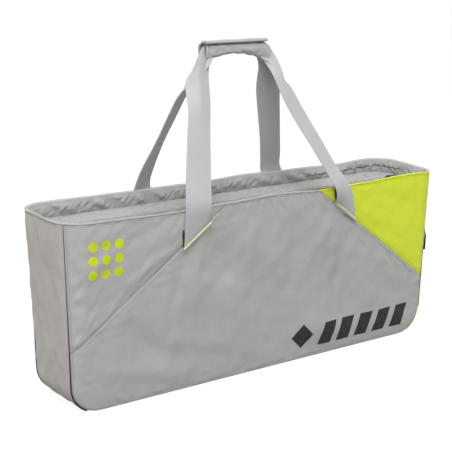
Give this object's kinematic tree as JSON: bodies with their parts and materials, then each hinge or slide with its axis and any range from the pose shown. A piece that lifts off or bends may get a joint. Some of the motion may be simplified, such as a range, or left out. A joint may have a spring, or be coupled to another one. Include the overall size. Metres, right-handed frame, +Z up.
{
  "type": "racket tournament bag",
  "caption": "Long open-topped racket bag with a recessed zipped closure, webbing handles joined by a padded grip wrap, and a zipped end pocket.",
  "frame": {"origin": "middle of the bag's footprint, on the surface it stands on", "axes": "+X along the bag towards its yellow-green end, -Y out of the front with the dark print, +Z up"},
  "size_m": [0.799, 0.1808, 0.5666],
  "materials": {
    "grey_canvas": "plain woven polyester, matt with a faint sheen",
    "gusset_canvas": "plain woven polyester, slightly warmer grey",
    "lime_canvas": "plain woven polyester, matt yellow-green",
    "lining": "thin crumpled lining cloth, satin",
    "webbing": "smooth woven strap tape, soft sheen",
    "binding": "folded binding tape with a stitch line",
    "piping": "thin corded edge, matt",
    "zip_tape": "woven zip tape, matt",
    "zip_teeth": "moulded coil",
    "zip_metal": "black enamel, satin",
    "board": "stiff plain board",
    "tack_thread": "dense thread bar",
    "grip_fabric": "padded woven cloth",
    "hook_and_loop": "short dense pile",
    "lime_print": "thin transfer print",
    "dark_print": "thin transfer print"
  },
  "bodies": {
    "bag": {"front_centre_panel": "grey_canvas", "front_left_panel": "grey_canvas", "front_right_panel": "lime_canvas", "back_centre_panel": "grey_canvas", "back_left_panel": "grey_canvas", "back_right_panel": "lime_canvas", "left_end_gusset": "gusset_canvas", "right_end_gusset": "lime_canvas", "base_panel": "gusset_canvas", "base_board": "board", "front_lining": "lining", "back_lining": "lining", "left_lining": "lining", "right_lining": "lining", "front_left_piping": "piping", "front_right_piping": "piping", "back_left_piping": "piping", "back_right_piping": "piping", "rim_binding": "binding", "closure_left_end": "lining", "closure_right_end": "lining", "front_closure_ledge": "lining", "back_closure_ledge": "lining", "zip_left_tab": "zip_tape", "zip_right_tab": "zip_tape", "end_zip_tape": "zip_tape", "end_zip_teeth": "zip_teeth", "end_pocket": "lining", "side_emblem": "lime_print", "front_mark": "dark_print", "front_left_strap_end": "webbing", "front_right_strap_end": "webbing", "back_left_strap_end": "webbing", "back_right_strap_end": "webbing", "front_left_tack": "tack_thread", "front_right_tack": "tack_thread", "back_left_tack": "tack_thread", "back_right_tack": "tack_thread"},
    "front_closure": {"front_closure_panel": "lining", "front_zip_tape": "zip_tape", "front_zip_teeth": "zip_teeth"},
    "back_closure": {"back_closure_panel": "lining", "back_zip_tape": "zip_tape", "back_zip_teeth": "zip_teeth"},
    "top_slider": {"top_zip_slider": "zip_metal"},
    "top_pull": {"top_zip_pull": "zip_metal"},
    "end_slider": {"end_zip_slider": "zip_metal"},
    "end_pull": {"end_zip_pull": "zip_metal"},
    "front_handle": {"front_handle_webbing": "webbing", "grip_wrap": "grip_fabric", "grip_hook_strip": "hook_and_loop"},
    "back_handle": {"back_handle_webbing": "webbing"},
    "flap": {"grip_flap": "grip_fabric", "grip_loop_strip": "hook_and_loop"}
  },
  "joints": [
    {"name": "front_handle_swing", "type": "hinge", "parent": "bag", "child": "front_handle", "pos_m": [0, -0.08591, 0.266], "axis": [1, 0, 0], "range_deg": [0, 140]},
    {"name": "back_handle_swing", "type": "hinge", "parent": "bag", "child": "back_handle", "pos_m": [0, 0.08591, 0.266], "axis": [-1, 0, 0], "range_deg": [0, 140]},
    {"name": "grip_flap_open", "type": "hinge", "parent": "front_handle", "child": "flap", "pos_m": [0, 0.0223, 0.5407], "axis": [-1, 0, 0], "range_deg": [0, 120]},
    {"name": "front_closure_fold", "type": "hinge", "parent": "bag", "child": "front_closure", "pos_m": [0, -0.07155, 0.288], "axis": [-1, 0, 0], "range_deg": [0, 80]},
    {"name": "back_closure_fold", "type": "hinge", "parent": "bag", "child": "back_closure", "pos_m": [0, 0.07155, 0.288], "axis": [1, 0, 0], "range_deg": [0, 80]},
    {"name": "top_zip_slide", "type": "slide", "parent": "bag", "child": "top_slider", "axis": [-1, 0, 0], "range_m": [0, 0.68]},
    {"name": "top_pull_flip", "type": "hinge", "parent": "top_slider", "child": "top_pull", "pos_m": [0.34, 0, 0.29435], "axis": [0, -1, 0], "range_deg": [0, 160]},
    {"name": "end_zip_slide", "type": "slide", "parent": "bag", "child": "end_slider", "axis": [-0.0594, 0, -0.9982], "range_m": [0, 0.13]},
    {"name": "end_pull_flip", "type": "hinge", "parent": "end_slider", "child": "end_pull", "pos_m": [0.39399, -0.04925, 0.18758], "axis": [-0.1733, -0.9848, 0.0103], "range_deg": [0, 150]}
  ]
}
